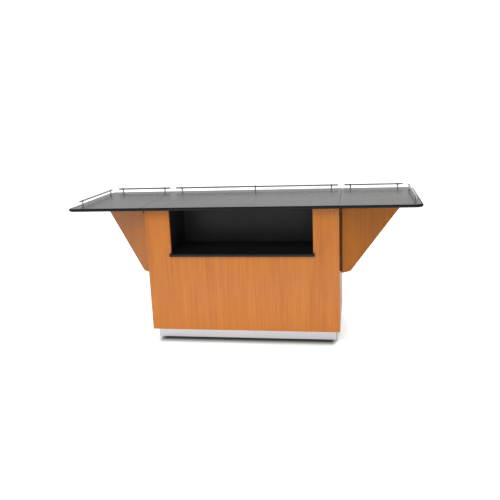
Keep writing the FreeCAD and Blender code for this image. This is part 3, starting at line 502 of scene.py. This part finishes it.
def add_plate(bm, centre, size, bevel):
    """A thin plate with bevelled edges, its sides along the axes."""
    made = bmesh.ops.create_cube(bm, size=1.0)
    for vertex in made["verts"]:
        vertex.co = Vector(centre) + Vector(c * s for c, s in zip(vertex.co, size))
    edges = list({edge for vertex in made["verts"] for edge in vertex.link_edges})
    bmesh.ops.bevel(bm, geom=edges, offset=bevel, segments=2, profile=0.5, affect="EDGES")


def new_piece(name, body, slot, adder, places):
    """One piece of the scene, made by an adder that is called for each place."""
    bm = bmesh.new()
    for place in places:
        adder(bm, *place)
    mesh = bpy.data.meshes.new(name)
    bm.to_mesh(mesh)
    bm.free()
    mesh.shade_smooth()
    mesh.set_sharp_from_angle(angle=SHARP_ANGLE)
    mesh.materials.append(MATERIALS[slot])
    piece = bpy.data.objects.new(name, mesh)
    bpy.context.scene.collection.objects.link(piece)
    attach(piece, body)


def spread(low, high, count):
    """Evenly spaced numbers from low to high."""
    return [low + (high - low) * index / (count - 1) for index in range(count)]


# the long bracket hinges: screws 20 mm from the axis, in both leaves
BRACKET_AXIS = Vector((640.0 * MM, -246.0 * MM, 0.0))
BRACKET_REST = math.radians(40.0)
HINGE_SCREW_REACH = 20.0 * MM
HINGE_SHEET = 1.8 * MM
BRACKET_LEAF_FACE = -3.2 * MM  # visible face of the moving leaf, from the axis
HINGE_LEVELS = spread(503.0 * MM, 893.0 * MM, 6)

# the drop-leaf hinges: two screws high and one low in a plate, three in a strap
LEAF_HINGE_FACE = END_FACE + 2.5 * MM
LEAF_HINGE_PLACES = (-301.5 * MM, 301.5 * MM)
PLATE_SCREWS = ((-8.0 * MM, 873.0 * MM), (8.0 * MM, 873.0 * MM), (0.0, 850.0 * MM))
STRAP_SCREWS = ((655.0 * MM, -7.0 * MM), (672.0 * MM, 7.0 * MM), (690.0 * MM, -7.0 * MM))


def hinge_screws():
    """Countersunk screws of the bracket hinges and the drop-leaf hinges."""
    fixed = []
    for side, sign in SIDES.items():
        outwards = (sign, 0.0, 0.0)
        for level in HINGE_LEVELS:
            fixed.append(((sign * (END_FACE + HINGE_SHEET), BRACKET_AXIS.y + HINGE_SCREW_REACH, level),
                          outwards))
        moving = []
        turn = Matrix.Rotation(BRACKET_REST, 3, "Z")
        spot = BRACKET_AXIS + turn @ Vector((HINGE_SCREW_REACH, BRACKET_LEAF_FACE, 0.0))
        facing = turn @ Vector((0.0, 1.0, 0.0))
        for level in HINGE_LEVELS:
            moving.append(((sign * spot.x, spot.y, level), (sign * facing.x, facing.y, 0.0)))
        new_piece(f"{side}_bracket_screws", f"{side}_bracket", "black_steel", add_cross_screw, moving)
        straps = []
        for middle in LEAF_HINGE_PLACES:
            for y, z in PLATE_SCREWS:
                fixed.append(((sign * LEAF_HINGE_FACE, middle + y, z), outwards))
            for x, y in STRAP_SCREWS:
                straps.append(((sign * x, middle + y, UNDERSIDE), (0.0, 0.0, -1.0)))
        new_piece(f"{side}_strap_screws", f"{side}_leaf", "black_steel", add_flush_screw, straps)
    new_piece("hinge_screws", "cabinet", "black_steel", add_cross_screw, fixed)


# under the cabinet
KINGPIN_X, KINGPIN_Y = 480.0 * MM, 165.0 * MM
BOLT_X, BOLT_Y = 42.0 * MM, 30.0 * MM
FLANGE_INSET = 12.0 * MM
FLANGE_SCREWS_X = spread(-520.0 * MM, 520.0 * MM, 5)
FLANGE_SCREWS_Y = spread(-180.0 * MM, 180.0 * MM, 3)


def underside_fasteners():
    """Hexagon bolts of the caster plates, and screws of the skirt's flanges."""
    down = (0.0, 0.0, -1.0)
    bolts = []
    for x in (-KINGPIN_X, KINGPIN_X):
        for y in (-KINGPIN_Y, KINGPIN_Y):
            for across in (-BOLT_X, BOLT_X):
                for along in (-BOLT_Y, BOLT_Y):
                    bolts.append(((x + across, y + along, PLATE_UNDER), down))
    new_piece("caster_bolts", "cabinet", "zinc_steel", add_hex_bolt, bolts)
    screws = []
    for sign in (-1, 1):
        for x in FLANGE_SCREWS_X:
            screws.append(((x, sign * (SKIRT_HALF_Y - FLANGE_INSET), FLANGE_UNDER), down))
        for y in FLANGE_SCREWS_Y:
            screws.append(((sign * (SKIRT_HALF_X - FLANGE_INSET), y, FLANGE_UNDER), down))
    new_piece("skirt_screws", "cabinet", "zinc_steel", add_pan_screw, screws)


# the rail posts
POST_BACK = 364.0 * MM
POST_END = 1107.0 * MM
CENTRE_POSTS = (-562.0 * MM, 0.0, 562.0 * MM)
LEAF_POSTS = ((699.0 * MM, POST_BACK), (1032.0 * MM, POST_BACK),
              (POST_END, -217.0 * MM), (POST_END, 289.0 * MM))


def post_collars():
    """Turned collars where the rail posts enter the boards."""
    new_piece("centre_post_collars", "cabinet", "chrome", add_collar,
              [((x, POST_BACK, WORKTOP),) for x in CENTRE_POSTS])
    for side, sign in SIDES.items():
        new_piece(f"{side}_post_collars", f"{side}_leaf", "chrome", add_collar,
                  [((sign * x, y, WORKTOP),) for x, y in LEAF_POSTS])


# inside the doors
PULL_X = 46.5 * MM
PULL_LEVELS = (576.0 * MM, 704.0 * MM)
STRIKE_X, STRIKE_Z = 36.5 * MM, 854.0 * MM
STRIKE_SIZE = (36.0 * MM, 0.9 * MM, 10.0 * MM)
STRIKE_BEVEL = 0.2 * MM


def door_fittings():
    """Screws of the pulls on the doors' inner faces, and the catches' strike plates."""
    inwards = (0.0, -1.0, 0.0)
    for side, sign in SIDES.items():
        new_piece(f"{side}_pull_screws", f"{side}_door", "zinc_steel", add_pan_screw,
                  [((sign * PULL_X, DOOR_INNER, level), inwards) for level in PULL_LEVELS])
        middle = (sign * STRIKE_X, DOOR_INNER - STRIKE_SIZE[1] / 2, STRIKE_Z)
        new_piece(f"{side}_strike_plate", f"{side}_door", "zinc_steel", add_plate,
                  [(middle, STRIKE_SIZE, STRIKE_BEVEL)])


hinge_screws()
underside_fasteners()
post_collars()
door_fittings()

# ---------------------------------------------------------------- floor and light
FLOOR_SIZE = 60.0
CONTACT_START = 0.030  # the painted contact shadow starts this far inside the skirt
CONTACT_FADE = 0.120  # and reaches this far from there
END_STEEPNESS = 2.0  # past the ends it fades over a shorter way
# the floor's colour under the skirt, dark as a painted shadow
FLOOR_PAINTED_SHADOW = 0.15
FLOOR_ALBEDO = 0.8
FLOOR_GLOW = 0.50
FAR_GLOW = 0.45  # more glow where the lights don't reach
FAR_START = 1.2
FAR_FULL = 4.0
END_GLOW = 0.20  # more glow past the cabinet's ends, where its shade falls
END_REACH = 0.25


def floor_material():
    """White floor that glows away from the skirt, so only the contact shadow stays; the glow is
    painted light, and near the skirt the colour darkens into a painted shadow.
    """
    material, s = new_material("studio_floor")
    where = s.node("TexCoord").outputs["Object"]
    footprint = (SKIRT_HALF_X - CONTACT_START, SKIRT_HALF_Y - CONTACT_START, 0.0)
    beyond = s.vector("SUBTRACT", s.vector("ABSOLUTE", where), footprint)
    past_end = s.node("SeparateXYZ", {"Vector": beyond}).outputs["X"]
    beyond = s.vector("MULTIPLY", beyond, (END_STEEPNESS, 1.0, 1.0))
    outside = s.vector("LENGTH", s.vector("MAXIMUM", beyond, (0.0, 0.0, 0.0)))
    open_floor = s.node("MapRange", {"Value": outside, "From Max": CONTACT_FADE},
                        interpolation_type="SMOOTHSTEP").outputs["Result"]
    far_glow = s.remap(outside, FAR_START, FAR_FULL, 0.0, FAR_GLOW)
    end_glow = s.remap(past_end, 0.0, END_REACH, 0.0, END_GLOW)
    glow = s.math("MULTIPLY", open_floor, FLOOR_GLOW)
    glow = s.math("ADD", glow, s.math("ADD", far_glow, end_glow))
    # painted shadow: the floor's colour darkens towards the skirt
    tone = s.ramp(open_floor, [
        (0.0, (FLOOR_PAINTED_SHADOW, FLOOR_PAINTED_SHADOW, FLOOR_PAINTED_SHADOW)),
        (1.0, (FLOOR_ALBEDO, FLOOR_ALBEDO, FLOOR_ALBEDO)),
    ])
    s.finish(
        Base_Color=tone,
        Roughness=0.9,
        Specular_IOR_Level=0.2,
        Emission_Color=(1.0, 1.0, 1.0, 1.0),
        Emission_Strength=glow,
    )
    return material


def studio_floor():
    mesh = bpy.data.meshes.new("studio_floor")
    half = FLOOR_SIZE / 2
    corners = [(-half, -half, 0.0), (half, -half, 0.0), (half, half, 0.0), (-half, half, 0.0)]
    mesh.from_pydata(corners, [], [(0, 1, 2, 3)])
    mesh.materials.append(floor_material())
    floor = bpy.data.objects.new("studio_floor", mesh)
    bpy.context.scene.collection.objects.link(floor)


def studio_world():
    """White walls all round, then a darker ceiling."""
    world = bpy.data.worlds.new("studio")
    world.use_nodes = True
    bpy.context.scene.world = world
    s = Shader(world.node_tree)
    direction = s.node("TexCoord").outputs["Generated"]
    parts = s.node("SeparateXYZ", {"Vector": direction})
    rise = s.ramp(parts.outputs["Z"], [
        (0.0, (1.0, 1.0, 1.0)),
        (0.19, (1.0, 1.0, 1.0)),
        (0.36, (0.38, 0.38, 0.39)),
        (1.0, (0.20, 0.20, 0.21)),
    ])
    side = s.remap(parts.outputs["X"], -1.0, 1.0)
    tint = s.ramp(side, [
        (0.0, (1.02, 1.06, 1.07)),
        (1.0, (1.08, 1.05, 1.0)),
    ])
    colour = s.mix(1.0, rise, tint, "MULTIPLY")
    background = s.node("Background", {"Color": colour, "Strength": 1.0})
    s.node("OutputWorld", {"Surface": background.outputs["Background"]})


def soft_light(name, place, target, size, power, colour, mirrored=True):
    """An area light that isn't seen itself, and that glossy surfaces may mirror."""
    data = bpy.data.lights.new(name, "AREA")
    data.shape = "RECTANGLE"
    data.size, data.size_y = size
    data.energy = power
    data.color = colour
    light = bpy.data.objects.new(name, data)
    bpy.context.scene.collection.objects.link(light)
    light.visible_camera = False
    light.visible_glossy = mirrored
    light.location = place
    aim = Vector(target) - Vector(place)
    light.rotation_euler = aim.to_track_quat("-Z", "Y").to_euler()


studio_floor()
studio_world()
MIDDLE = (0.0, 0.0, 0.55)
FRONT_FOOT = (0.0, -0.3, 0.3)
soft_light("key_light", (-0.5, -3.0, 3.0), MIDDLE, (1.8, 1.8), 121.0, (1.0, 0.94, 0.88),
           mirrored=False)
soft_light("fill_light", (-3.4, -2.4, 3.0), MIDDLE, (2.4, 2.4), 6.0, (0.92, 0.97, 1.0))
soft_light("low_light", (0.0, -0.95, 0.2), FRONT_FOOT, (2.0, 0.3), 6.3, (1.0, 0.95, 0.90),
           mirrored=False)
soft_light("back_light", (0.6, 2.4, 4.0), MIDDLE, (2.4, 2.4), 90.0, (1.0, 0.99, 0.97))

# ------------------------------------------------------------------------- camera
CAMERA_PLACE = (0.743289, -4.180217, 1.561875)
CAMERA_YAW = math.radians(10.0269)
CAMERA_PITCH = math.radians(13.1784)
CAMERA_ROLL = math.radians(-2.4249)
FOCAL_PIXELS = 620.518
PHOTO_WIDTH = 500
SENSOR_WIDTH = 36.0


def photo_camera():
    """The camera that was fitted to the photograph's edges."""
    forward = Vector((
        -math.sin(CAMERA_YAW) * math.cos(CAMERA_PITCH),
        math.cos(CAMERA_YAW) * math.cos(CAMERA_PITCH),
        -math.sin(CAMERA_PITCH),
    ))
    level = Vector((math.cos(CAMERA_YAW), math.sin(CAMERA_YAW), 0.0))
    upright = level.cross(forward)
    right = math.cos(CAMERA_ROLL) * level + math.sin(CAMERA_ROLL) * upright
    up = right.cross(forward)
    data = bpy.data.cameras.new("photo_camera")
    data.sensor_width = SENSOR_WIDTH
    data.lens = FOCAL_PIXELS * SENSOR_WIDTH / PHOTO_WIDTH
    camera = bpy.data.objects.new("photo_camera", data)
    bpy.context.scene.collection.objects.link(camera)
    turn = Matrix((right, up, -forward)).transposed().to_4x4()
    camera.matrix_world = Matrix.Translation(Vector(CAMERA_PLACE)) @ turn
    bpy.context.scene.camera = camera


photo_camera()
bpy.context.scene.view_settings.view_transform = "Standard"
